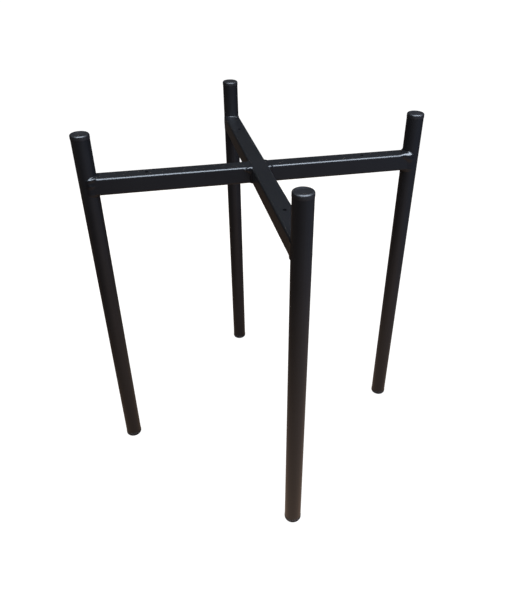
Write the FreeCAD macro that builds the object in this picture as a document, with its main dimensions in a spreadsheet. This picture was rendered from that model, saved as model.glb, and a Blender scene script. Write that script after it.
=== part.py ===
"""Four-legged welded plant stand, in millimetres.

Frame: +Z is up, and the origin is on the floor at the middle of the stand. The legs stand on the X and Y
axes. The through bar joins the front and back legs along Y, and two half bars join the left and right legs
to its sides along X. Legs are round steel tube, bars are square steel tube, and every joint is welded.
"""
import FreeCAD, Part
import os
from math import pi

import Sketcher
from FreeCAD import Placement, Rotation, Vector

doc = FreeCAD.newDocument("plant_stand")


# ---------------------------------------------------------------------------------------------------------
# Driving dimensions: one row of the sheet each
# ---------------------------------------------------------------------------------------------------------
DIMENSIONS = (
    ("stand_height", 420.0, "floor to the tops of the leg plugs"),
    ("leg_spacing", 360.0, "axis to axis of two opposite legs"),
    ("leg_rise", 45.0, "how far the leg plugs stand above the tops of the bars"),
    ("leg_diameter", 19.0, "outside of the round leg tube"),
    ("leg_wall", 1.2, "wall of the leg tube"),
    ("bar_side", 19.0, "outside of the square bar tube"),
    ("bar_wall", 1.2, "wall of the bar tube"),
    ("bar_corner", 2.5, "outside radius of the bar tube's corners"),
    ("saddle_trim", 3.0, "gap between a saddle-cut bar end and the leg's axis"),
    ("hole_circle", 240.0, "pitch circle of the four tray screw holes"),
    ("hole_diameter", 4.0, "tray screw hole, through both walls of the bar"),
    ("plug_lip", 0.2, "how far a plug's head stands out past the leg tube"),
    ("plug_skin", 2.0, "thickness of a plug's head over its hollow"),
    ("stem_length", 15.0, "a plug's stem, inside the tube"),
    ("stem_diameter", 13.2, "outside of a plug's stem"),
    ("stem_wall", 1.5, "wall of a plug's stem"),
    ("fin_start", 1.5, "from a plug's head to its first gripping fin"),
    ("fin_thickness", 0.8, "one gripping fin, as wide as the tube's bore"),
    ("fin_pitch", 3.5, "from one fin to the next"),
    ("fin_count", 4, "gripping fins on each stem"),
    ("top_head", 5.0, "height of a top plug's head above its tube"),
    ("top_round", 2.0, "radius round a top plug's head"),
    ("foot_head", 5.0, "height of a foot plug's head below its tube"),
    ("foot_round", 2.5, "radius round a foot plug's head"),
    ("weld_leg", 2.5, "leg length of the fillet welds"),
    ("weld_side", 1.2, "how far a leg weld stands out beside its bar"),
    ("weld_bevel", 0.8, "depth that the bar's wall is bevelled under a leg weld"),
    ("weld_crown", 0.4, "how far a middle weld stands proud of the bars' flush faces"),
)

sheet = doc.addObject("Spreadsheet::Sheet", "Sizes")
for row, (alias, value, meaning) in enumerate(DIMENSIONS, start=1):
    sheet.set(f"A{row}", alias)
    sheet.set(f"B{row}", str(value))
    sheet.set(f"C{row}", meaning)
    sheet.setAlias(f"B{row}", alias)
doc.recompute()

# Lengths that several pieces share, as expressions of the sheet
LEG_RADIUS = "(Sizes.leg_diameter / 2)"
LEG_BORE = "(Sizes.leg_diameter / 2 - Sizes.leg_wall)"
LEG_AXIS = "(Sizes.leg_spacing / 2)"
BAR_HALF = "(Sizes.bar_side / 2)"
BAR_BORE = "(Sizes.bar_side / 2 - Sizes.bar_wall)"
BAR_BORE_CORNER = "(Sizes.bar_corner - Sizes.bar_wall)"
BAR_HEIGHT = "(Sizes.stand_height - Sizes.leg_rise - Sizes.bar_side / 2)"
BAR_END = "(Sizes.leg_spacing / 2 - Sizes.saddle_trim)"
HOLE_PLACE = "(Sizes.hole_circle / 2)"
HOLE_RADIUS = "(Sizes.hole_diameter / 2)"

# The side each leg stands on, with the quarter turns about Z that carry +X there
SIDES = {"right": 0, "back": 1, "left": 2, "front": 3}
DIRECTIONS = ((1, 0), (0, 1), (-1, 0), (0, -1))

# The corners of a square about the origin, a quarter turn apart
CORNERS = ((1, 1), (-1, 1), (-1, -1), (1, -1))


# ---------------------------------------------------------------------------------------------------------
# Bodies and sketches
# ---------------------------------------------------------------------------------------------------------
def size_of(expression):
    """The number that an expression of the sheet gives."""
    return float(sheet.evalExpression(expression))


def new_body(label, turns=0, out="0", height="0", upside_down=False):
    """A body turned about Z by quarter turns, then moved out along its X axis and up."""
    body = doc.addObject("PartDesign::Body", label)
    body.Label = label
    rotation = Rotation(Vector(0, 0, 1), 90 * turns)
    if upside_down:
        rotation = rotation.multiply(Rotation(Vector(1, 0, 0), 180))
    body.Placement = Placement(Vector(), rotation)
    step_x, step_y = DIRECTIONS[turns]
    body.setExpression("Placement.Base.x", f"{step_x} * {out}")
    body.setExpression("Placement.Base.y", f"{step_y} * {out}")
    body.setExpression("Placement.Base.z", height)
    return body


def origin_feature(body, role):
    """One of the body's own origin planes or axes, such as XY_Plane or Z_Axis."""
    return next(feature for feature in body.Origin.OriginFeatures if feature.Role == role)


def new_sketch(body, name, plane, offset="0", across="0"):
    """A sketch on one of the body's origin planes, at an offset from it, its origin moved across it."""
    sketch = body.newObject("Sketcher::SketchObject", name)
    sketch.AttachmentSupport = [(origin_feature(body, plane), "")]
    sketch.MapMode = "FlatFace"
    sketch.setExpression("AttachmentOffset.Base.x", across)
    sketch.setExpression("AttachmentOffset.Base.z", offset)
    return sketch


def drive(sketch, kind, *targets, to):
    """Add a dimension to the sketch and bind it to an expression."""
    index = sketch.addConstraint(Sketcher.Constraint(kind, *targets, size_of(to)))
    sketch.setExpression(f"Constraints[{index}]", to)


def place_point(sketch, geometry, point, u, v):
    """Hold a point of the sketch at expressions u and v from the sketch's origin."""
    drive(sketch, "DistanceX", -1, 1, geometry, point, to=u)
    drive(sketch, "DistanceY", -1, 1, geometry, point, to=v)


def draw_circle(sketch, radius, u="0", v="0"):
    """A circle of a given radius and centre."""
    centre = Vector(size_of(u), size_of(v), 0)
    circle = sketch.addGeometry(Part.Circle(centre, Vector(0, 0, 1), size_of(radius)))
    drive(sketch, "Radius", circle, to=radius)
    place_point(sketch, circle, 3, u, v)


def draw_polygon(sketch, corners):
    """A closed run of straight lines through (u, v) corners."""
    points = [Vector(size_of(u), size_of(v), 0) for u, v in corners]
    ends = points[1:] + points[:1]
    lines = [sketch.addGeometry(Part.LineSegment(*pair)) for pair in zip(points, ends)]
    for line, following in zip(lines, lines[1:] + lines[:1]):
        sketch.addConstraint(Sketcher.Constraint("Coincident", line, 2, following, 1))
    for line, (u, v) in zip(lines, corners):
        place_point(sketch, line, 1, u, v)


def draw_rectangle(sketch, half_u, half_v):
    """A rectangle about the sketch's origin."""
    draw_polygon(sketch, [(f"{u} * {half_u}", f"{v} * {half_v}") for u, v in CORNERS])


def draw_rounded_square(sketch, half, radius):
    """A square about the sketch's origin, with rounded corners."""
    flat = f"({half} - {radius})"
    arcs = []
    for quarter, (u, v) in enumerate(CORNERS):
        centre = Vector(u * size_of(flat), v * size_of(flat), 0)
        circle = Part.Circle(centre, Vector(0, 0, 1), size_of(radius))
        arc = sketch.addGeometry(Part.ArcOfCircle(circle, quarter * pi / 2, (quarter + 1) * pi / 2))
        place_point(sketch, arc, 3, f"{u} * {flat}", f"{v} * {flat}")
        arcs.append(arc)
    drive(sketch, "Radius", arcs[0], to=radius)
    for arc, following in zip(arcs, arcs[1:] + arcs[:1]):
        start = sketch.getPoint(arc, 2)
        end = sketch.getPoint(following, 1)
        line = sketch.addGeometry(Part.LineSegment(start, end))
        sketch.addConstraint(Sketcher.Constraint("Tangent", arc, 2, line, 1))
        sketch.addConstraint(Sketcher.Constraint("Tangent", line, 2, following, 1))
    for arc in arcs[1:]:
        sketch.addConstraint(Sketcher.Constraint("Equal", arcs[0], arc))


# ---------------------------------------------------------------------------------------------------------
# Features
# ---------------------------------------------------------------------------------------------------------
def pad(body, sketch, length, symmetric=False):
    """Pad a sketch by a length, to one side or half to each side."""
    feature = body.newObject("PartDesign::Pad", f"{sketch.Name}_pad")
    feature.Profile = sketch
    feature.SideType = "Symmetric" if symmetric else "One side"
    feature.setExpression("Length", length)
    return feature


def cut_through(body, sketch, way="both"):
    """Cut a sketch through the body both ways, or only towards + or - along the sketch's normal."""
    feature = body.newObject("PartDesign::Pocket", f"{sketch.Name}_cut")
    feature.Profile = sketch
    feature.Type = "ThroughAll"
    feature.SideType = "Symmetric" if way == "both" else "One side"
    feature.Reversed = way == "+"
    return feature


def revolve(body, sketch, angle=360, symmetric=False, kind="Revolution"):
    """Turn a sketch about its own vertical axis, to add a Revolution or to cut a Groove."""
    feature = body.newObject(f"PartDesign::{kind}", f"{sketch.Name}_{kind}")
    feature.Profile = sketch
    feature.ReferenceAxis = (sketch, ["V_Axis"])
    feature.Angle = angle
    feature.Midplane = symmetric
    return feature


def round_edges(body, base, radius, is_wanted):
    """Fillet the edges of a feature that a test picks."""
    doc.recompute()
    names = [f"Edge{number}" for number, edge in enumerate(base.Shape.Edges, start=1) if is_wanted(edge)]
    feature = body.newObject("PartDesign::Fillet", f"{base.Name}_rounding")
    feature.Base = (base, names)
    feature.setExpression("Radius", radius)
    return feature


# ---------------------------------------------------------------------------------------------------------
# Legs: plain round tubes, square-cut between the two plugs' heads
# ---------------------------------------------------------------------------------------------------------
def make_leg(side, turns):
    body = new_body(f"leg_{side}", turns, LEG_AXIS, "Sizes.foot_head")
    section = new_sketch(body, f"leg_{side}_section", "XY_Plane")
    draw_circle(section, LEG_RADIUS)
    draw_circle(section, LEG_BORE)
    pad(body, section, "Sizes.stand_height - Sizes.foot_head - Sizes.top_head")
    return body


# ---------------------------------------------------------------------------------------------------------
# Plugs: moulded cups, with the head's outer face at the body's origin and the stem standing up along +Z
# ---------------------------------------------------------------------------------------------------------
def make_plug(kind, side, turns, height, upside_down):
    label = f"{kind}_plug_{side}"
    head_radius = "(Sizes.leg_diameter / 2 + Sizes.plug_lip)"
    head_height = f"Sizes.{kind}_head"
    stem_radius = "(Sizes.stem_diameter / 2)"
    hollow_radius = "(Sizes.stem_diameter / 2 - Sizes.stem_wall)"
    stem_top = f"({head_height} + Sizes.stem_length)"

    body = new_body(label, turns, LEG_AXIS, height, upside_down)
    profile = new_sketch(body, f"{label}_profile", "XZ_Plane")
    draw_polygon(profile, (
        ("0", "0"),
        (head_radius, "0"),
        (head_radius, head_height),
        (stem_radius, head_height),
        (stem_radius, stem_top),
        (hollow_radius, stem_top),
        (hollow_radius, "Sizes.plug_skin"),
        ("0", "Sizes.plug_skin"),
    ))
    blank = revolve(body, profile)
    on_rim = size_of(head_radius) - 0.01
    round_edges(
        body, blank, f"Sizes.{kind}_round",
        lambda edge: edge.BoundBox.ZMax < 0.01 and edge.BoundBox.XMax > on_rim,
    )

    fin = new_sketch(body, f"{label}_fin", "XZ_Plane")
    fin_bottom = f"({head_height} + Sizes.fin_start)"
    fin_top = f"({fin_bottom} + Sizes.fin_thickness)"
    draw_polygon(fin, (
        (hollow_radius, fin_bottom),
        (LEG_BORE, fin_bottom),
        (LEG_BORE, fin_top),
        (hollow_radius, fin_top),
    ))
    ring = revolve(body, fin)
    doc.recompute()
    fins = body.newObject("PartDesign::LinearPattern", f"{label}_fins")
    fins.Originals = [ring]
    fins.Direction = (origin_feature(body, "Z_Axis"), [""])
    fins.Mode = "Spacing"
    fins.setExpression("Offset", "Sizes.fin_pitch")
    fins.setExpression("Occurrences", "Sizes.fin_count")
    body.Tip = fins
    return body


# ---------------------------------------------------------------------------------------------------------
# Bars: square tube with its ends saddle-cut to sit against the legs, and a screw hole in each arm
# ---------------------------------------------------------------------------------------------------------
def draw_bar_section(sketch):
    draw_rounded_square(sketch, BAR_HALF, "Sizes.bar_corner")
    draw_rounded_square(sketch, BAR_BORE, BAR_BORE_CORNER)


def draw_bevels(sketch):
    """The wedges of bar wall, beside the leg's axis, that a leg weld replaces above and below."""
    root = f"({BAR_HALF} - Sizes.weld_bevel)"
    toe = f"({LEG_RADIUS} + Sizes.weld_leg)"
    for sign in (1, -1):
        draw_polygon(sketch, (
            (f"-{LEG_RADIUS}", f"{sign} * {root}"),
            (f"-{LEG_RADIUS}", f"{sign} * {BAR_HALF}"),
            (f"-{toe}", f"{sign} * {BAR_HALF}"),
        ))


def cut_arm(body, name, sign):
    """Cut one arm, along +X or -X of the body: its saddle, the bevels for its weld and its screw hole."""
    saddle = new_sketch(body, f"{name}_saddle", "XY_Plane")
    draw_circle(saddle, LEG_RADIUS, u=f"{sign} * {LEG_AXIS}")
    cut_through(body, saddle)
    bevels = new_sketch(body, f"{name}_bevels", "XZ_Plane", across=f"{sign} * {LEG_AXIS}")
    draw_bevels(bevels)
    revolve(body, bevels, kind="Groove")
    hole = new_sketch(body, f"{name}_hole", "XY_Plane")
    draw_circle(hole, HOLE_RADIUS, u=f"{sign} * {HOLE_PLACE}")
    cut_through(body, hole)


def make_through_bar():
    body = new_body("through_bar", SIDES["back"], height=BAR_HEIGHT)
    section = new_sketch(body, "through_bar_section", "YZ_Plane")
    draw_bar_section(section)
    pad(body, section, f"2 * {BAR_END}", symmetric=True)
    cut_arm(body, "back_arm", 1)
    cut_arm(body, "front_arm", -1)
    return body


def make_half_bar(side):
    name = f"half_bar_{side}"
    body = new_body(name, SIDES[side], height=BAR_HEIGHT)
    section = new_sketch(body, f"{name}_section", "YZ_Plane", BAR_HALF)
    draw_bar_section(section)
    pad(body, section, f"{BAR_END} - {BAR_HALF}")
    cut_arm(body, f"{side}_arm", 1)
    return body


# ---------------------------------------------------------------------------------------------------------
# Welds: the bead round each joint, with the pieces that it joins taken out of it
# ---------------------------------------------------------------------------------------------------------
def make_leg_weld(side, turns):
    """A fillet that follows the leg over and under the bar, and closes the grooves beside it."""
    name = f"leg_weld_{side}"
    reach = f"(max(Sizes.leg_diameter; Sizes.bar_side) / 2 + Sizes.weld_leg)"
    above = f"({BAR_HALF} + Sizes.weld_leg)"

    body = new_body(name, turns, LEG_AXIS, BAR_HEIGHT)
    profile = new_sketch(body, f"{name}_profile", "XZ_Plane")
    draw_polygon(profile, (
        (f"-{LEG_RADIUS}", above),
        (f"-{reach}", BAR_HALF),
        (f"-{reach}", f"-{BAR_HALF}"),
        (f"-{LEG_RADIUS}", f"-{above}"),
    ))
    revolve(body, profile, 180, symmetric=True)

    bar = new_sketch(body, f"{name}_bar", "YZ_Plane", "-Sizes.saddle_trim")
    draw_rounded_square(bar, BAR_HALF, "Sizes.bar_corner")
    cut_through(body, bar, way="-")

    bevels = new_sketch(body, f"{name}_bevels", "XZ_Plane")
    draw_bevels(bevels)
    revolve(body, bevels, 180, symmetric=True)

    trim = new_sketch(body, f"{name}_trim", "YZ_Plane")
    draw_rectangle(trim, f"(2 * {reach})", f"(2 * {above})")
    draw_rectangle(trim, f"({BAR_HALF} + Sizes.weld_side)", above)
    cut_through(body, trim)
    return body


def make_middle_weld(side):
    """Fillets in the corners beside the half bar, joined by low beads over its top and under its bottom."""
    name = f"middle_weld_{side}"
    inner = f"({BAR_HALF} - Sizes.bar_corner)"
    outer = f"({BAR_HALF} + Sizes.weld_leg)"

    body = new_body(name, SIDES[side], height=BAR_HEIGHT)
    plan = new_sketch(body, f"{name}_plan", "XY_Plane")
    draw_polygon(plan, (
        (inner, f"-{outer}"),
        (BAR_HALF, f"-{outer}"),
        (outer, f"-{BAR_HALF}"),
        (outer, BAR_HALF),
        (BAR_HALF, outer),
        (inner, outer),
    ))
    pad(body, plan, "Sizes.bar_side + 2 * Sizes.weld_crown", symmetric=True)

    through_bar = new_sketch(body, f"{name}_through_bar", "XZ_Plane")
    draw_rounded_square(through_bar, BAR_HALF, "Sizes.bar_corner")
    cut_through(body, through_bar)

    half_bar = new_sketch(body, f"{name}_half_bar", "YZ_Plane", BAR_HALF)
    draw_rounded_square(half_bar, BAR_HALF, "Sizes.bar_corner")
    cut_through(body, half_bar, way="+")
    return body


# ---------------------------------------------------------------------------------------------------------
# The stand
# ---------------------------------------------------------------------------------------------------------
bodies = [make_through_bar()]
for side in ("left", "right"):
    bodies.append(make_half_bar(side))
    bodies.append(make_middle_weld(side))
for side, turns in SIDES.items():
    bodies.append(make_leg(side, turns))
    bodies.append(make_leg_weld(side, turns))
    bodies.append(make_plug("top", side, turns, "Sizes.stand_height", upside_down=True))
    bodies.append(make_plug("foot", side, turns, "0", upside_down=False))
doc.recompute()


# ---------------------------------------------------------------------------------------------------------
# Check every object, then write one file for each piece
# ---------------------------------------------------------------------------------------------------------
for item in doc.Objects:
    if {"Invalid", "Error"} & set(item.State):
        raise RuntimeError(f"{item.Label} did not build: {item.State}")
for body in bodies:
    shape = body.Shape
    if shape.isNull() or not shape.isValid() or len(shape.Solids) != 1:
        raise RuntimeError(f"{body.Label} is not one valid solid")

os.makedirs("parts", exist_ok=True)
for body in bodies:
    body.Shape.exportStep(f"parts/{body.Label}.step")
    box = body.Shape.BoundBox
    print(f"{body.Label:20s} {body.Shape.Volume:10.1f} mm3, z {box.ZMin:.1f} to {box.ZMax:.1f}")
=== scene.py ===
import math

import bmesh
import bpy
import numpy as np
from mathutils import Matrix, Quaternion, Vector


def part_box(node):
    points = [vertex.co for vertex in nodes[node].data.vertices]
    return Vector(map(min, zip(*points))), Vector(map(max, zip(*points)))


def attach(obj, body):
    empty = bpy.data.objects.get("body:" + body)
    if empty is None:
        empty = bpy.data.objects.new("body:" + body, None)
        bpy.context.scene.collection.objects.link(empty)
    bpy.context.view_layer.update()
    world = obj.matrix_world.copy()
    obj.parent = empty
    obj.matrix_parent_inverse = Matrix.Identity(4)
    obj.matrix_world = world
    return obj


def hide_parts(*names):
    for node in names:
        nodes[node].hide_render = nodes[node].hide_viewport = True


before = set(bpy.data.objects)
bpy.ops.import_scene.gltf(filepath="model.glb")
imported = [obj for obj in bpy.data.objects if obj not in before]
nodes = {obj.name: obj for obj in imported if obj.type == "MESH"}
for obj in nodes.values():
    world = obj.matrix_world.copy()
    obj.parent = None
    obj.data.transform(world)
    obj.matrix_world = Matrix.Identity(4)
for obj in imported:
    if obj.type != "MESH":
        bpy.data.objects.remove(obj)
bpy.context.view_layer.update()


# ------------------------------------------------------------------------------------------------
# Legs. Four lengths of round mild-steel tube, 19 mm across with a 1.2 mm wall, cut square at both
# ends. The whole welded frame is blasted, dusted with black polyester powder and baked, so the
# legs carry one smooth satin film with the slight waviness that the powder leaves as it flows.
# ------------------------------------------------------------------------------------------------
MM = 0.001
SIDES = {"left": (-1, 0), "right": (1, 0), "front": (0, -1), "back": (0, 1)}

POWDER_BLACK = "#0C0D12"
POWDER_THIN = "#131419"
# The paler grey of the faces that look upwards: partly dust, partly painted light from above.
POWDER_DUST_AND_TOP_LIGHT = "#1E2226"
POWDER_IOR = 1.5
POWDER_ROUGHNESS = 0.34
ROUGHNESS_SPREAD = 0.06
# The coat's slow changes in thickness, its orange peel, and its grain. Cured powder is grained at about
# 0.1 mm, which is too fine to show, so the grain is drawn coarser.
FILM_MM = 45
PEEL_MM = 2.4
PEEL_DEPTH_MM = 0.005
GRAIN_MM = 0.45
GRAIN_DEPTH_MM = 0.0008
# Dust and painted top light: how far a face's normal has to rise for the first trace of the paler grey
# and for all of it, the same for the grain that it lies on, and its share of the colour.
DUST_AND_TOP_LIGHT_RISE_FROM, DUST_AND_TOP_LIGHT_RISE_TO = 0.55, 1.0
DUST_AND_TOP_LIGHT_GRAIN_FROM, DUST_AND_TOP_LIGHT_GRAIN_TO = 0.42, 0.72
DUST_AND_TOP_LIGHT_SHARE = 0.3


def linear(colour):
    """An sRGB hex colour as linear red, green and blue, and an alpha of 1. Each channel is c / 12.92 up to
    0.04045, and ((c + 0.055) / 1.055) ** 2.4 above it."""
    channels = [int(colour[i:i + 2], 16) / 255 for i in (1, 3, 5)]
    return [c / 12.92 if c <= 0.04045 else ((c + 0.055) / 1.055) ** 2.4 for c in channels] + [1.0]


def add_node(tree, kind, sockets=None, **settings):
    """Adds one node to the tree: settings go on the node, and each entry of sockets is linked or set."""
    made = tree.nodes.new(kind)
    for name, value in settings.items():
        setattr(made, name, value)
    for name, value in (sockets or {}).items():
        if isinstance(value, bpy.types.NodeSocket):
            tree.links.new(value, made.inputs[name])
        else:
            made.inputs[name].default_value = value
    return made


def per_metre(millimetres):
    """The scale that gives a noise of that feature size on Object coordinates, which are in metres."""
    return 1 / (millimetres * MM)


def new_material(name):
    """An empty node material: returns it with its tree, its output and the object's own coordinates."""
    material = bpy.data.materials.new(name)
    material.use_nodes = True
    tree = material.node_tree
    tree.nodes.clear()
    output = add_node(tree, "ShaderNodeOutputMaterial")
    place = add_node(tree, "ShaderNodeTexCoord").outputs["Object"]
    return material, tree, output, place


def powder_coat(name, peel_depth, roughness):
    """Black polyester powder coat, sprayed dry and baked: a satin plastic film, not bare metal. The eye
    gets a near-black body, a soft highlight along every edge, a faint orange-peel waviness, a fine
    grain, and a paler bluish grey on the faces that look upwards, partly dust and partly painted light from
    above."""
    material, tree, output, place = new_material(name)
    film = add_node(tree, "ShaderNodeTexNoise",
                    {"Vector": place, "Scale": per_metre(FILM_MM), "Detail": 2.0, "Roughness": 0.5})
    peel = add_node(tree, "ShaderNodeTexNoise",
                    {"Vector": place, "Scale": per_metre(PEEL_MM), "Detail": 1.0, "Roughness": 0.4})
    grain = add_node(tree, "ShaderNodeTexNoise",
                     {"Vector": place, "Scale": per_metre(GRAIN_MM), "Detail": 2.0, "Roughness": 0.6})

    body = add_node(tree, "ShaderNodeMix", {"Factor": film.outputs["Fac"]}, data_type="RGBA")
    body.inputs["A"].default_value = linear(POWDER_BLACK)
    body.inputs["B"].default_value = linear(POWDER_THIN)
    # Faces that look upwards turn towards a paler bluish grey on the grain's speckle: partly dust, partly
    # painted light from above.
    facing = add_node(tree, "ShaderNodeSeparateXYZ",
                      {"Vector": add_node(tree, "ShaderNodeNewGeometry").outputs["Normal"]})
    upward = add_node(tree, "ShaderNodeMapRange",
                      {"Value": facing.outputs["Z"], "From Min": DUST_AND_TOP_LIGHT_RISE_FROM, "From Max": DUST_AND_TOP_LIGHT_RISE_TO})
    speckle = add_node(tree, "ShaderNodeMapRange",
                       {"Value": grain.outputs["Fac"], "From Min": DUST_AND_TOP_LIGHT_GRAIN_FROM,
                        "From Max": DUST_AND_TOP_LIGHT_GRAIN_TO})
    dust_and_top_light = add_node(tree, "ShaderNodeMath", {0: upward.outputs["Result"], 1: speckle.outputs["Result"]},
                    operation="MULTIPLY")
    dust_and_top_light_share = add_node(tree, "ShaderNodeMath", {0: dust_and_top_light.outputs["Value"], 1: DUST_AND_TOP_LIGHT_SHARE},
                          operation="MULTIPLY")
    colour = add_node(tree, "ShaderNodeMix", {"Factor": dust_and_top_light_share.outputs["Value"]}, data_type="RGBA")
    tree.links.new(body.outputs["Result"], colour.inputs["A"])
    colour.inputs["B"].default_value = linear(POWDER_DUST_AND_TOP_LIGHT)

    shine = add_node(tree, "ShaderNodeMapRange",
                     {"Value": film.outputs["Fac"], "To Min": roughness - ROUGHNESS_SPREAD / 2,
                      "To Max": roughness + ROUGHNESS_SPREAD / 2})
    peel_height = add_node(tree, "ShaderNodeMath", {0: peel.outputs["Fac"], 1: peel_depth * MM},
                           operation="MULTIPLY")
    height = add_node(tree, "ShaderNodeMath",
                      {0: grain.outputs["Fac"], 1: GRAIN_DEPTH_MM * MM, 2: peel_height.outputs["Value"]},
                      operation="MULTIPLY_ADD")
    relief = add_node(tree, "ShaderNodeBump",
                      {"Strength": 1.0, "Distance": 1.0, "Height": height.outputs["Value"]})
    shader = add_node(tree, "ShaderNodeBsdfPrincipled",
                      {"Base Color": colour.outputs["Result"], "Roughness": shine.outputs["Result"],
                       "IOR": POWDER_IOR, "Normal": relief.outputs["Normal"]})
    tree.links.new(shader.outputs["BSDF"], output.inputs["Surface"])
    return material


def dress(piece, material):
    """Gives every material slot of a piece that material, and adds the slot if it has none."""
    if not piece.material_slots:
        piece.data.materials.append(material)
    for material_slot in piece.material_slots:
        material_slot.material = material


powder_on_tube = powder_coat("powder_coated_steel_tube", PEEL_DEPTH_MM, POWDER_ROUGHNESS)
for side in SIDES:
    dress(nodes[f"leg_{side}"], powder_on_tube)


# ------------------------------------------------------------------------------------------------
# Bars. Square steel tube, 19 mm with a 1.2 mm wall and rolled corners: one bar runs right through
# from front to back, and two half bars butt against it. Their ends are saddle-cut to the legs, and
# a 4 mm hole for a tray screw is drilled in each arm before coating. They share the legs' film.
# ------------------------------------------------------------------------------------------------
for bar in ("through_bar", "half_bar_left", "half_bar_right"):
    dress(nodes[bar], powder_on_tube)


# ------------------------------------------------------------------------------------------------
# Welds at the legs. A MIG bead runs once round each bar end where it meets its tube: a fillet above
# and below, and a low fill down each cheek where the square side runs on to the round one. The bead
# is wire-brushed and coated with the frame, which softens its ripples and rounds its start and stop.
# ------------------------------------------------------------------------------------------------
WELD_PEEL_DEPTH_MM = 0.008
WELD_ROUGHNESS = 0.28
BAR_CORNER_MM = 2.5
# A bead's leg along the bar, its leg and swell on the cheeks, how far its toes sink into the skins, and
# how far its hidden back lies under the skins and behind the root.
WELD_LEG_MM = 2.5
CHEEK_LEG_MM = 2.5
CHEEK_SWELL_MM = 0.55
WELD_SINK_MM = 0.06
WELD_UNDER_MM = 0.36
WELD_ROOT_MM = 0.5
# The cheek begins and is complete where the bead's outward direction is level by these shares.
CHEEK_FROM, CHEEK_TO = 0.3, 0.95
# Ripples: spacing, height as a share of the swell, lag of the edges in ripples, and the shift in radians
# from one bead to the next, so that no two start alike.
RIPPLE_MM = 2.6
RIPPLE_SHARE = 0.055
RIPPLE_LAG = 0.6
RIPPLE_SHIFT = 1.7
# Slow waves round the bead: share of the swell, waves in one round, and how many times the shift moves them.
UNEVEN_WAVES = ((0.12, 3, 1.0), (0.09, 7, 2.3))
WALK_STEPS = 480
ACROSS_STEPS = 18
SAME_POINT = 1e-7
SHARP_ANGLE = math.radians(40)


def walk_section(half, corner, steps):
    """Once round a rounded square in its (y, z) plane, evenly by distance. A side's point is its middle
    plus the way along it; a corner's is the core's corner plus its radius times a turning unit normal.
    Returns points, outward normals and distances, starting in the middle of the +y side and going up."""
    straight = 2 * (half - corner)
    bend = corner * math.pi / 2
    walked = np.arange(steps) / steps * 4 * (straight + bend) + straight / 2
    turn_count, along = np.divmod(walked, straight + bend)
    angle = turn_count * math.pi / 2
    turning = angle + np.maximum(along - straight, 0) / corner
    out = np.stack([np.cos(angle), np.sin(angle)], 1)
    ahead = np.stack([-np.sin(angle), np.cos(angle)], 1)
    normal = np.stack([np.cos(turning), np.sin(turning)], 1)
    onward = (np.minimum(along, straight) - straight / 2)[:, None]
    return (half - corner) * out + onward * ahead + corner * normal, normal, walked


def smooth_step(value, low, high):
    """0 below low, 1 above high, and 3t^2 - 2t^3 in between."""
    t = np.clip((value - low) / (high - low), 0, 1)
    return t * t * (3 - 2 * t)


def unit(vectors):
    """The vectors at length 1."""
    return vectors / np.linalg.norm(vectors, axis=-1, keepdims=True)


def bead_surface(toe_a, toe_b, root, skin_a, skin_b, walked, swell, lump, shift):
    """A weld bead as a closed ring. Across, it leaves toe a and meets toe b along their skins, on the curve
    (1 - t)^2 a + 2 t (1 - t) root + t^2 b. Along the bisector of the two skins it gains a crown of
    16 t^2 (1 - t)^2 times the swell, and 729/16 t^2 (1 - t)^4 times the lump. Both curves peak at 1, the
    second at t = 1/3, nearer toe a. The ring closes behind the root, under the skins. Along it, the swell
    rises and falls as a row of ripples that lag behind at the bead's edges, with slow uneven waves."""
    t = np.linspace(0, 1, ACROSS_STEPS)
    out = unit(skin_a + skin_b)
    lag = RIPPLE_LAG * (2 * t - 1) ** 2
    ripple = np.cos(2 * math.pi * (walked[:, None] / (RIPPLE_MM * MM) + lag) + shift)
    around = 2 * math.pi * np.arange(len(walked)) / len(walked)
    uneven = sum(share * np.sin(waves * around + moved * shift) for share, waves, moved in UNEVEN_WAVES)
    crown = 16 * t ** 2 * (1 - t) ** 2
    leaning = 729 / 16 * t ** 2 * (1 - t) ** 4
    rippled = swell[:, None] * (1 + uneven[:, None] + RIPPLE_SHARE * ripple)
    height = rippled * crown + lump[:, None] * leaning
    from_a, from_root, from_b = ((1 - t) ** 2)[:, None], (2 * t * (1 - t))[:, None], (t ** 2)[:, None]
    hollow = toe_a[:, None] * from_a + root[:, None] * from_root + toe_b[:, None] * from_b
    face = hollow + height[..., None] * out[:, None]
    face[:, 0] -= WELD_SINK_MM * MM * skin_a
    face[:, -1] -= WELD_SINK_MM * MM * skin_b
    under_a = toe_a - WELD_UNDER_MM * MM * skin_a
    under_b = toe_b - WELD_UNDER_MM * MM * skin_b
    hidden = np.stack([under_b, root - WELD_ROOT_MM * MM * out, under_a], 1)
    return np.concatenate([face, hidden], 1)


def turned(points, direction):
    """Points given as (along, across, up) for a bar that runs in a level direction, in the stand's axes."""
    along, across = np.array([*direction, 0.0]), np.array([-direction[1], direction[0], 0.0])
    up = np.array([0.0, 0.0, 1.0])
    return points @ np.stack([along, across, up])


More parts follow.
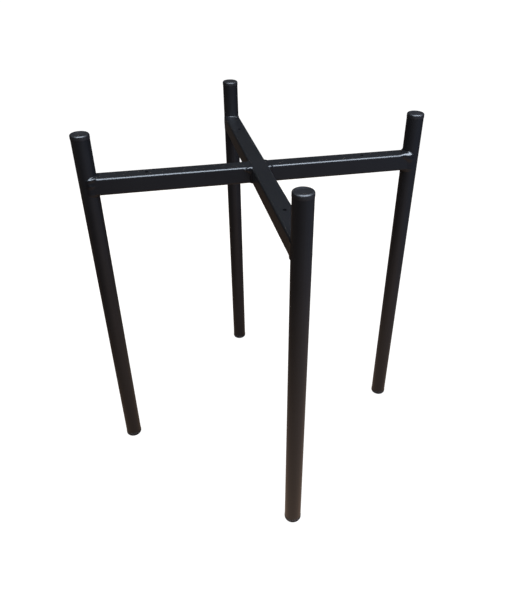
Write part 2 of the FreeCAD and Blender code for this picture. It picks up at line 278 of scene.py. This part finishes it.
def surface_piece(name, grid, endless):
    """A grid of points as a mesh of quads. Each row is a closed ring, and the last row joins the first if
    the piece is endless. Points that coincide, as at a pole, are merged, faces are turned outwards, and
    only real edges stay sharp."""
    rows, columns = grid.shape[:2]
    row = np.arange(rows if endless else rows - 1)[:, None]
    column = np.arange(columns)[None, :]
    next_row, next_column = (row + 1) % rows, (column + 1) % columns
    quads = np.stack([row * columns + column, next_row * columns + column,
                      next_row * columns + next_column, row * columns + next_column], -1)
    mesh = bpy.data.meshes.new(name)
    mesh.from_pydata(grid.reshape(-1, 3).tolist(), [], quads.reshape(-1, 4).tolist())
    shell = bmesh.new()
    shell.from_mesh(mesh)
    bmesh.ops.remove_doubles(shell, verts=shell.verts, dist=SAME_POINT)
    bmesh.ops.recalc_face_normals(shell, faces=shell.faces)
    shell.to_mesh(mesh)
    shell.free()
    mesh.polygons.foreach_set("use_smooth", np.ones(len(mesh.polygons), bool))
    mesh.set_sharp_from_angle(angle=SHARP_ANGLE)
    piece = bpy.data.objects.new(name, mesh)
    bpy.context.scene.collection.objects.link(piece)
    return piece


def lump_at(walked, share, size, reach):
    """A round lump of that size at one share of the walk, fading as exp(-(d / reach)^2) to both sides."""
    round_trip = walked[-1] + walked[1] - 2 * walked[0]
    away = np.abs(walked - walked[0] - share * round_trip)
    return size * np.exp(-(np.minimum(away, round_trip - away) / reach) ** 2)


def starts_and_stops(walked, lumps):
    """How high a bead's lumps stand all along the walk, and how far they run out along the bar."""
    height = sum(lump_at(walked, share, size * MM, reach * MM) for share, size, reach, _ in lumps)
    run_out = sum(lump_at(walked, share, run * MM, reach * MM) for share, _, reach, run in lumps)
    return height, run_out


leg_low, leg_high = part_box("leg_left")
leg_radius = (leg_high.x - leg_low.x) / 2
leg_reach = -(leg_high.x + leg_low.x) / 2
bar_low, bar_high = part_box("half_bar_left")
bar_half = (bar_high.z - bar_low.z) / 2
bar_middle = (bar_high.z + bar_low.z) / 2

powder_on_weld = powder_coat("powder_coated_weld_bead", WELD_PEEL_DEPTH_MM, WELD_ROUGHNESS)

# How far each bead climbs its tube above and below the bar, and how far its middle stands out of the
# hollow curve between its toes, in millimetres.
CLIMB_MM = {"left": 2.0, "right": 3.2, "front": 2.2, "back": 1.3}
SWELL_MM = {"left": 0.5, "right": 0.7, "front": 0.7, "back": 0.35}
# The lumps and run-outs that each start and stop leaves: share of the walk, and then the height, the
# reach along the bead and how far it runs out along the bar, in millimetres.
LUMPS = {
    "left": ((0.380, 0.9, 2.0, 0.0), (0.375, 0.0, 3.5, 1.6), (0.475, 0.7, 1.8, 0.3)),
    "right": ((0.068, 1.3, 3.4, 0.0), (0.182, 1.3, 3.4, 0.0), (0.125, 0.1, 5.0, 9.0)),
    "front": ((0.13, 0.5, 2.5, 1.0), (0.62, 0.3, 3.0, 0.5)),
    "back": ((0.183, 0.8, 1.2, 0.3), (0.86, 0.3, 3.0, 0.5)),
}


def leg_weld(side, shift):
    """The bead round one bar end. Its root is where the bar's section meets the tube, x = sqrt(R^2 - y^2).
    The bar's toe is the section's point at R plus one bead leg from the tube's axis. The tube's toe is
    worked out on the unrolled tube, where the root is (R asin(y / R), z): out along that curve's normal by
    the climb, or by the cheek's leg on the cheeks, and then rolled up again."""
    section, section_out, walked = walk_section(bar_half, BAR_CORNER_MM * MM, WALK_STEPS)
    y, z = section.T
    lump, run_out = starts_and_stops(walked, LUMPS[side])
    angle = np.arcsin(np.clip(y / leg_radius, -1, 1))
    root = np.stack([leg_radius * np.cos(angle), y, z], 1)
    toe_x = np.sqrt((leg_radius + WELD_LEG_MM * MM) ** 2 - y ** 2) + run_out
    toe_bar = np.stack([toe_x, y, z], 1)
    skin_bar = np.concatenate([np.zeros((len(y), 1)), section_out], 1)

    unrolled = np.stack([leg_radius * angle, z], 1)
    step = np.roll(unrolled, -1, 0) - np.roll(unrolled, 1, 0)
    unrolled_out = unit(np.stack([step[:, 1], -step[:, 0]], 1))
    cheek = smooth_step(np.abs(unrolled_out[:, 0]), CHEEK_FROM, CHEEK_TO)
    climb = (CLIMB_MM[side] + (CHEEK_LEG_MM - CLIMB_MM[side]) * cheek) * MM
    laid = unrolled + climb[:, None] * unrolled_out
    rolled = laid[:, 0] / leg_radius
    toe_tube = np.stack([leg_radius * np.cos(rolled), leg_radius * np.sin(rolled), laid[:, 1]], 1)
    skin_tube = np.stack([np.cos(rolled), np.sin(rolled), np.zeros(len(y))], 1)

    swell = (SWELL_MM[side] + (CHEEK_SWELL_MM - SWELL_MM[side]) * cheek) * MM
    ring = bead_surface(toe_bar, toe_tube, root, skin_bar, skin_tube, walked, swell, lump, shift)
    direction = (-SIDES[side][0], -SIDES[side][1])
    centre = np.array([SIDES[side][0] * leg_reach, SIDES[side][1] * leg_reach, bar_middle])
    return turned(ring, direction) + centre


for number, side in enumerate(SIDES):
    bead = surface_piece(f"leg_bead_{side}", leg_weld(side, RIPPLE_SHIFT * number), endless=True)
    dress(bead, powder_on_weld)
    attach(bead, "root")
    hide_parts(f"leg_weld_{side}")


# ------------------------------------------------------------------------------------------------
# Welds at the crossing. Each half bar's square end is welded all round to the side of the through
# bar: small fillets down its two cheeks, and a nearly flush fill above and below, where the
# through bar's rolled corner leaves a groove.
# ------------------------------------------------------------------------------------------------
MIDDLE_LEG_MM = 2.5
# How far the bead's middle stands out of the hollow between its toes: on the cheeks, and above and below.
MIDDLE_CHEEK_SWELL_MM = 0.9
MIDDLE_FLUSH_SWELL_MM = 0.5
MIDDLE_SHIFT = {"left": 0.9, "right": 3.0}
MIDDLE_LUMPS = {
    "left": ((0.092, 0.9, 3.0, 6.5), (0.60, 0.3, 2.0, 0.5)),
    "right": ((0.392, 0.9, 3.0, 3.0), (0.90, 0.3, 2.0, 0.5)),
}


def middle_weld(side):
    """The bead round a half bar's end. The half bar's toe is one bead leg out along the bar. The through
    bar's toe is the section's point moved out by one leg and held to the bar's height, and then laid on
    the side of the bar, x = h - c + sqrt(c^2 - (|z| - h + c)^2) over the rolled corner."""
    corner = BAR_CORNER_MM * MM
    section, section_out, walked = walk_section(bar_half, corner, WALK_STEPS)
    y, z = section.T
    leg = MIDDLE_LEG_MM * MM
    lump, run_out = starts_and_stops(walked, MIDDLE_LUMPS[side])
    root = np.stack([np.full(len(y), bar_half), y, z], 1)
    toe_half = np.stack([bar_half + leg + run_out, y, z], 1)
    skin_half = np.concatenate([np.zeros((len(y), 1)), section_out], 1)
    toe_y = y + leg * section_out[:, 0]
    toe_z = np.clip(z + leg * section_out[:, 1], -bar_half, bar_half)
    over = np.maximum(np.abs(toe_z) - (bar_half - corner), 0)
    toe_x = bar_half - corner + np.sqrt(np.maximum(corner ** 2 - over ** 2, 0))
    toe_through = np.stack([toe_x, toe_y, toe_z], 1)
    skin_through = unit(np.stack([toe_x - (bar_half - corner), np.zeros(len(y)), over * np.sign(toe_z)], 1))
    flush = np.abs(section_out[:, 1])
    swell = (MIDDLE_CHEEK_SWELL_MM + (MIDDLE_FLUSH_SWELL_MM - MIDDLE_CHEEK_SWELL_MM) * flush) * MM
    ring = bead_surface(toe_half, toe_through, root, skin_half, skin_through, walked, swell, lump,
                        MIDDLE_SHIFT[side])
    return turned(ring, SIDES[side]) + np.array([0, 0, bar_middle])


for side in ("left", "right"):
    bead = surface_piece(f"middle_bead_{side}", middle_weld(side), endless=True)
    dress(bead, powder_on_weld)
    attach(bead, "root")
    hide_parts(f"middle_weld_{side}")


# ------------------------------------------------------------------------------------------------
# Plugs. Injection-moulded black polyethylene, pushed into both ends of each leg after coating. A
# head as wide as the tube covers the cut edge, and a hollow stem with four soft ring fins grips the
# bore. The top heads are dished and the feet are rounder, to slide on a floor.
# ------------------------------------------------------------------------------------------------
PLUG_BLACK = "#141318"
PLUG_SCUFF = "#201F24"
PLUG_IOR = 1.51
PLUG_ROUGHNESS_FROM, PLUG_ROUGHNESS_TO = 0.37, 0.50
# A spark-eroded tool leaves pits about 0.1 mm apart. They are drawn coarser, so that they show.
SPARK_MM = 0.35
SPARK_DEPTH_MM = 0.008
SWIRL_MM = 9
SCUFF_FROM, SCUFF_TO = 0.45, 0.8

# The head's height, the small radius of its edge at the tube, and the thickness of its skin.
HEAD_MM = 5.0
SEAM_MM = {"top": 0.35, "foot": 0.12}
SKIN_MM = 2.0
# The hollow stem, and its ring fins, which are as wide as the tube's bore.
STEM_LENGTH_MM = 15.0
STEM_RADIUS_MM = 6.6
HOLLOW_RADIUS_MM = 5.1
FIN_START_MM = 1.5
FIN_THICK_MM = 0.8
FIN_TIP_MM = 0.4
FIN_PITCH_MM = 3.5
FIN_COUNT = 4
BORE_RADIUS_MM = 8.3
# The head's face: a dish that rises between two radii, a rounded edge, and a gate mark in the middle.
DISH_MM = {"top": 0.5, "foot": 0.3}
DISH_FROM_MM, DISH_TO_MM = 5.2, 7.3
EDGE_ROUND_MM = {"top": 2.0, "foot": 2.5}
GATE_FLAT_MM, GATE_RADIUS_MM, GATE_HEIGHT_MM = 0.66, 1.1, 0.18
DISH_STEPS, EDGE_STEPS, SEAM_STEPS = 40, 16, 6
PLUG_STEPS = 96


def moulded_polyethylene(name):
    """Black polyethylene, injection-moulded in a spark-eroded tool: a slightly waxy, soft-edged shine
    over a fine even sparkle of texture, with paler scuffs in slow patches."""
    material, tree, output, place = new_material(name)
    spark = add_node(tree, "ShaderNodeTexNoise",
                     {"Vector": place, "Scale": per_metre(SPARK_MM), "Detail": 1.0, "Roughness": 0.5})
    swirl = add_node(tree, "ShaderNodeTexNoise",
                     {"Vector": place, "Scale": per_metre(SWIRL_MM), "Detail": 3.0, "Roughness": 0.6})
    scuff = add_node(tree, "ShaderNodeMapRange",
                     {"Value": swirl.outputs["Fac"], "From Min": SCUFF_FROM, "From Max": SCUFF_TO})
    colour = add_node(tree, "ShaderNodeMix", {"Factor": scuff.outputs["Result"]}, data_type="RGBA")
    colour.inputs["A"].default_value = linear(PLUG_BLACK)
    colour.inputs["B"].default_value = linear(PLUG_SCUFF)
    matt = add_node(tree, "ShaderNodeMapRange",
                    {"Value": swirl.outputs["Fac"], "To Min": PLUG_ROUGHNESS_FROM,
                     "To Max": PLUG_ROUGHNESS_TO})
    height = add_node(tree, "ShaderNodeMath", {0: spark.outputs["Fac"], 1: SPARK_DEPTH_MM * MM},
                      operation="MULTIPLY")
    relief = add_node(tree, "ShaderNodeBump",
                      {"Strength": 1.0, "Distance": 1.0, "Height": height.outputs["Value"]})
    shader = add_node(tree, "ShaderNodeBsdfPrincipled",
                      {"Base Color": colour.outputs["Result"], "Roughness": matt.outputs["Result"],
                       "IOR": PLUG_IOR, "Normal": relief.outputs["Normal"]})
    tree.links.new(shader.outputs["BSDF"], output.inputs["Surface"])
    return material


def arc(centre, radius, start, end, steps):
    """Points on a circular arc from one angle to another, in degrees: centre + radius (cos, sin)."""
    angle = np.radians(np.linspace(start, end, steps))
    return np.stack([centre[0] + radius * np.cos(angle), centre[1] + radius * np.sin(angle)], 1)


def plug_profile(kind, head_radius):
    """Half a plug's section as (radius, depth behind its outer face), in millimetres. The dish is
    D (1 + cos(pi u)) / 2 with u running from 0 to 1 between its two radii, with a small gate mark in the
    middle; then the rounded edge, the seam's small radius, the finned stem and the hollow."""
    radius = np.linspace(0, DISH_TO_MM, DISH_STEPS)
    u = np.clip((radius - DISH_FROM_MM) / (DISH_TO_MM - DISH_FROM_MM), 0, 1)
    gate = GATE_HEIGHT_MM * (1 - smooth_step(radius, GATE_FLAT_MM, GATE_RADIUS_MM))
    dish = np.stack([radius, DISH_MM[kind] * (1 + np.cos(math.pi * u)) / 2 - gate], 1)
    edge = EDGE_ROUND_MM[kind]
    shoulder = arc((head_radius - edge, edge), edge, -90, 0, EDGE_STEPS)
    lip = SEAM_MM[kind]
    seam = arc((head_radius - lip, HEAD_MM - lip), lip, 0, 90, SEAM_STEPS)
    parts = [dish, shoulder, seam, [(STEM_RADIUS_MM, HEAD_MM)]]
    slope = (FIN_THICK_MM - FIN_TIP_MM) / 2
    for fin in range(FIN_COUNT):
        start = HEAD_MM + FIN_START_MM + fin * FIN_PITCH_MM
        parts.append([(STEM_RADIUS_MM, start), (BORE_RADIUS_MM, start + slope),
                      (BORE_RADIUS_MM, start + slope + FIN_TIP_MM), (STEM_RADIUS_MM, start + FIN_THICK_MM)])
    end = HEAD_MM + STEM_LENGTH_MM
    parts.append([(STEM_RADIUS_MM, end), (HOLLOW_RADIUS_MM, end), (HOLLOW_RADIUS_MM, SKIN_MM),
                  (0, SKIN_MM)])
    return np.concatenate([np.array(part, float) for part in parts])


def turned_round(profile, centre, face, sign):
    """The profile turned round an upright axis: x = cx + r cos a, y = cy + r sin a, z = face + sign depth."""
    angle = 2 * math.pi * np.arange(PLUG_STEPS) / PLUG_STEPS
    radius, depth = profile.T * MM
    height = np.repeat((face + sign * depth)[:, None], PLUG_STEPS, 1)
    return np.stack([centre[0] + np.outer(radius, np.cos(angle)),
                     centre[1] + np.outer(radius, np.sin(angle)), height], -1)


polyethylene = moulded_polyethylene("injection_moulded_polyethylene")
for kind, sign in (("top", -1), ("foot", 1)):
    for side in SIDES:
        low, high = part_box(f"{kind}_plug_{side}")
        centre = ((low.x + high.x) / 2, (low.y + high.y) / 2)
        face = high.z if kind == "top" else low.z
        profile = plug_profile(kind, (high.x - low.x) / 2 / MM)
        grid = turned_round(profile, centre, face, sign)
        plug = surface_piece(f"{kind}_cap_{side}", grid, endless=False)
        dress(plug, polyethylene)
        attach(plug, "root")
        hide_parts(f"{kind}_plug_{side}")


# ------------------------------------------------------------------------------------------------
# Studio. A plain white sweep to stand on, which gloss sees as a warm glow, strongest in front of the
# stand, in a dim cool room. One wide soft light overhead in front gives the edges their shine, and two
# dull ones, from the right and from behind, give the black its body.
# ------------------------------------------------------------------------------------------------
WHITE = "#FFFFFF"
FLOOR_SIZE = 12.0
FLOOR_WHITE = 1.1
FLOOR_PAPER = "#F4F4F4"
FLOOR_SHADOW_SHARE = 0.12
# The warm glow: colour, strength all round and more in front, centre and reach of the front part, the
# distance over which a ray loses it, and the ray length under which it fades out, a painted contact shade at
# the feet.
GLOW_COLOUR = "#FFD4AE"
GLOW_ALL_ROUND = 0.16
GLOW_IN_FRONT = 0.5
GLOW_CENTRE = (0.08, -0.4, 0.0)
GLOW_REACH = 0.75
GLOW_FADE = 0.8
CONTACT_SHADE_REACH = 0.008
# Colour, strength, centre and reach of the even light that four parts of the floor send back.
FLOOR_PARTS = (
    ("#FFD6AB", 0.02, (-0.15, 0.4, 0.0), 0.8),
    ("#D0E2FF", 0.32, (0.9, -1.0, 0.0), 1.8),
    ("#F0E8E0", 0.10, (0.2, 1.9, 0.0), 1.2),
    ("#F0E8E0", 0.10, (-1.7, 0.1, 0.0), 1.4),
)
# The room as gloss sees it, by the ray's direction: dim below the first height and bright above the
# second, and brighter by the walls' share to both sides of a dimmer strip a little to the right.
SKY_COLOUR = "#DCE6EE"
SKY_LOW, SKY_HIGH = 0.02, 0.195
SKY_FROM, SKY_TO = 0.24, 0.62
WALLS_SHARE = 0.7
WALLS_FROM, WALLS_TO = 0.04, 0.2
STRIP_ASIDE = 0.19
ROOM_FILL = 0.8
# Each light's direction and distance from the bars' tops, its size, and how brightly its face glows.
SOFTBOX_DIRECTION = Vector((0.06, -0.56, 0.83)).normalized()
SOFTBOX_DISTANCE = 1.7
SOFTBOX_SIZE = (2.7, 1.1)
SOFTBOX_GLOW = 20.0
SOFTBOX_COLOUR = "#DEEBFA"
FILL_DIRECTION = Vector((0.62, -0.45, 0.6)).normalized()
FILL_DISTANCE = 0.7
FILL_SIZE = (0.6, 0.6)
FILL_GLOW = 4.5
FILL_COLOUR = "#C6D6FC"
REAR_DIRECTION = Vector((0.0, 0.95, 0.2)).normalized()
REAR_DISTANCE = 0.9
REAR_GLOW = 13.0
REAR_COLOUR = "#FFEEDC"
# The camera's place and aim in metres, its roll, focal length in millimetres, shift and clipping range.
CAMERA_PLACE = Vector((-0.1189, -0.5884, 0.6057))
CAMERA_AIM = Vector((0.0303, -0.0078, 0.2139))
CAMERA_ROLL = math.radians(0.923)
CAMERA_LENS = 34.42
CAMERA_SHIFT = (-0.0400, -0.0220)
CAMERA_NEAR, CAMERA_FAR = 0.02, 60.0

floor_mesh = bpy.data.meshes.new("floor")
edge = FLOOR_SIZE / 2
floor_corners = [(-edge, -edge, 0), (edge, -edge, 0), (edge, edge, 0), (-edge, edge, 0)]
floor_mesh.from_pydata(floor_corners, [], [(0, 1, 2, 3)])
floor = bpy.data.objects.new("floor", floor_mesh)
bpy.context.scene.collection.objects.link(floor)


def pool(tree, place, centre, reach):
    """1 at the centre, 0 from the reach outwards, and a smooth step in between."""
    away = add_node(tree, "ShaderNodeVectorMath", {0: place, 1: centre}, operation="DISTANCE")
    return add_node(tree, "ShaderNodeMapRange",
                    {"Value": away.outputs["Value"], "From Min": 0.0, "From Max": reach, "To Min": 1.0,
                     "To Max": 0.0}, interpolation_type="SMOOTHSTEP").outputs["Result"]


sweep, tree, output, place = new_material("white_sweep")
rays = add_node(tree, "ShaderNodeLightPath")
in_front = add_node(tree, "ShaderNodeMath",
                    {0: pool(tree, place, GLOW_CENTRE, GLOW_REACH), 1: GLOW_IN_FRONT, 2: GLOW_ALL_ROUND},
                    operation="MULTIPLY_ADD")
lengths = add_node(tree, "ShaderNodeMath", {0: rays.outputs["Ray Length"], 1: -1 / GLOW_FADE},
                   operation="MULTIPLY")
fade = add_node(tree, "ShaderNodeMath", {0: lengths.outputs["Value"]}, operation="EXPONENT")
faded = add_node(tree, "ShaderNodeMath", {0: in_front.outputs["Value"], 1: fade.outputs["Value"]},
                 operation="MULTIPLY")
# Rays that reach the floor within a few millimetres see less of the glow: a painted contact shade round the
# feet.
painted_contact_shade = add_node(tree, "ShaderNodeMapRange",
                   {"Value": rays.outputs["Ray Length"], "From Min": 0.0, "From Max": CONTACT_SHADE_REACH},
                   interpolation_type="SMOOTHSTEP")
glow_strength = add_node(tree, "ShaderNodeMath", {0: faded.outputs["Value"], 1: painted_contact_shade.outputs["Result"]},
                         operation="MULTIPLY")
glow = add_node(tree, "ShaderNodeEmission",
                {"Color": linear(GLOW_COLOUR), "Strength": glow_strength.outputs["Value"]})
gloss = glow.outputs["Emission"]
for colour, strength, centre, reach in FLOOR_PARTS:
    strength_here = add_node(tree, "ShaderNodeMath", {0: pool(tree, place, centre, reach), 1: strength},
                             operation="MULTIPLY")
    part = add_node(tree, "ShaderNodeEmission",
                    {"Color": linear(colour), "Strength": strength_here.outputs["Value"]})
    gloss = add_node(tree, "ShaderNodeAddShader", {0: gloss, 1: part.outputs["Emission"]}).outputs["Shader"]
paper = add_node(tree, "ShaderNodeBsdfDiffuse", {"Color": linear(FLOOR_PAPER)})
white = add_node(tree, "ShaderNodeEmission", {"Color": linear(WHITE), "Strength": FLOOR_WHITE})
seen = add_node(tree, "ShaderNodeMixShader",
                {"Fac": FLOOR_SHADOW_SHARE, 1: white.outputs["Emission"], 2: paper.outputs["BSDF"]})
surface = add_node(tree, "ShaderNodeMixShader",
                   {"Fac": rays.outputs["Is Camera Ray"], 1: gloss, 2: seen.outputs["Shader"]})
tree.links.new(surface.outputs["Shader"], output.inputs["Surface"])
dress(floor, sweep)

world = bpy.data.worlds.new("studio")
bpy.context.scene.world = world
world.use_nodes = True
tree = world.node_tree
tree.nodes.clear()
rays = add_node(tree, "ShaderNodeLightPath")
outward = add_node(tree, "ShaderNodeSeparateXYZ",
                   {"Vector": add_node(tree, "ShaderNodeTexCoord").outputs["Generated"]})
rise = add_node(tree, "ShaderNodeMapRange",
                {"Value": outward.outputs["Z"], "From Min": SKY_FROM, "From Max": SKY_TO,
                 "To Min": SKY_LOW, "To Max": SKY_HIGH}, interpolation_type="SMOOTHSTEP")
aside = add_node(tree, "ShaderNodeMath", {0: outward.outputs["X"], 1: STRIP_ASIDE}, operation="SUBTRACT")
from_strip = add_node(tree, "ShaderNodeMath", {0: aside.outputs["Value"]}, operation="ABSOLUTE")
walls = add_node(tree, "ShaderNodeMapRange",
                 {"Value": from_strip.outputs["Value"], "From Min": WALLS_FROM, "From Max": WALLS_TO,
                  "To Min": 1.0, "To Max": 1.0 + WALLS_SHARE}, interpolation_type="SMOOTHSTEP")
sky_strength = add_node(tree, "ShaderNodeMath", {0: rise.outputs["Result"], 1: walls.outputs["Result"]},
                        operation="MULTIPLY")
sky = add_node(tree, "ShaderNodeBackground",
               {"Color": linear(SKY_COLOUR), "Strength": sky_strength.outputs["Value"]})
fill = add_node(tree, "ShaderNodeBackground", {"Color": linear(WHITE), "Strength": ROOM_FILL})
backdrop = add_node(tree, "ShaderNodeBackground", {"Color": linear(WHITE), "Strength": FLOOR_WHITE})
lit = add_node(tree, "ShaderNodeMixShader",
               {"Fac": rays.outputs["Is Glossy Ray"], 1: fill.outputs["Background"],
                2: sky.outputs["Background"]})
shown = add_node(tree, "ShaderNodeMixShader",
                 {"Fac": rays.outputs["Is Camera Ray"], 1: lit.outputs["Shader"],
                  2: backdrop.outputs["Background"]})
add_node(tree, "ShaderNodeOutputWorld", {"Surface": shown.outputs["Shader"]})


def soft_light(name, direction, distance, size, glow, colour):
    """A rectangular soft light that faces the stand's bars, from that direction and distance. A face that
    glows evenly by g gives off pi g a in all, where a is its area."""
    light = bpy.data.lights.new(name, "AREA")
    light.shape = "RECTANGLE"
    light.size, light.size_y = size
    light.energy = math.pi * glow * size[0] * size[1]
    light.color = linear(colour)[:3]
    lamp = bpy.data.objects.new(name, light)
    lamp.location = Vector((0, 0, bar_high.z)) + distance * direction
    lamp.rotation_mode = "QUATERNION"
    lamp.rotation_quaternion = (-direction).to_track_quat("-Z", "Y")
    lamp.visible_camera = False
    bpy.context.scene.collection.objects.link(lamp)
    return lamp


softbox = soft_light("softbox", SOFTBOX_DIRECTION, SOFTBOX_DISTANCE, SOFTBOX_SIZE, SOFTBOX_GLOW,
                     SOFTBOX_COLOUR)
softbox.visible_diffuse = False
side_fill = soft_light("side_fill", FILL_DIRECTION, FILL_DISTANCE, FILL_SIZE, FILL_GLOW, FILL_COLOUR)
side_fill.visible_glossy = False
rear_fill = soft_light("rear_fill", REAR_DIRECTION, REAR_DISTANCE, FILL_SIZE, REAR_GLOW, REAR_COLOUR)
rear_fill.visible_glossy = False

camera_data = bpy.data.cameras.new("camera")
camera_data.lens = CAMERA_LENS
camera_data.shift_x, camera_data.shift_y = CAMERA_SHIFT
camera_data.clip_start, camera_data.clip_end = CAMERA_NEAR, CAMERA_FAR
camera = bpy.data.objects.new("camera", camera_data)
camera.location = CAMERA_PLACE
camera.rotation_mode = "QUATERNION"
camera.rotation_quaternion = ((CAMERA_AIM - CAMERA_PLACE).to_track_quat("-Z", "Y")
                              @ Quaternion((0, 0, 1), CAMERA_ROLL))
bpy.context.scene.collection.objects.link(camera)
bpy.context.scene.camera = camera
bpy.context.scene.view_settings.view_transform = "Standard"
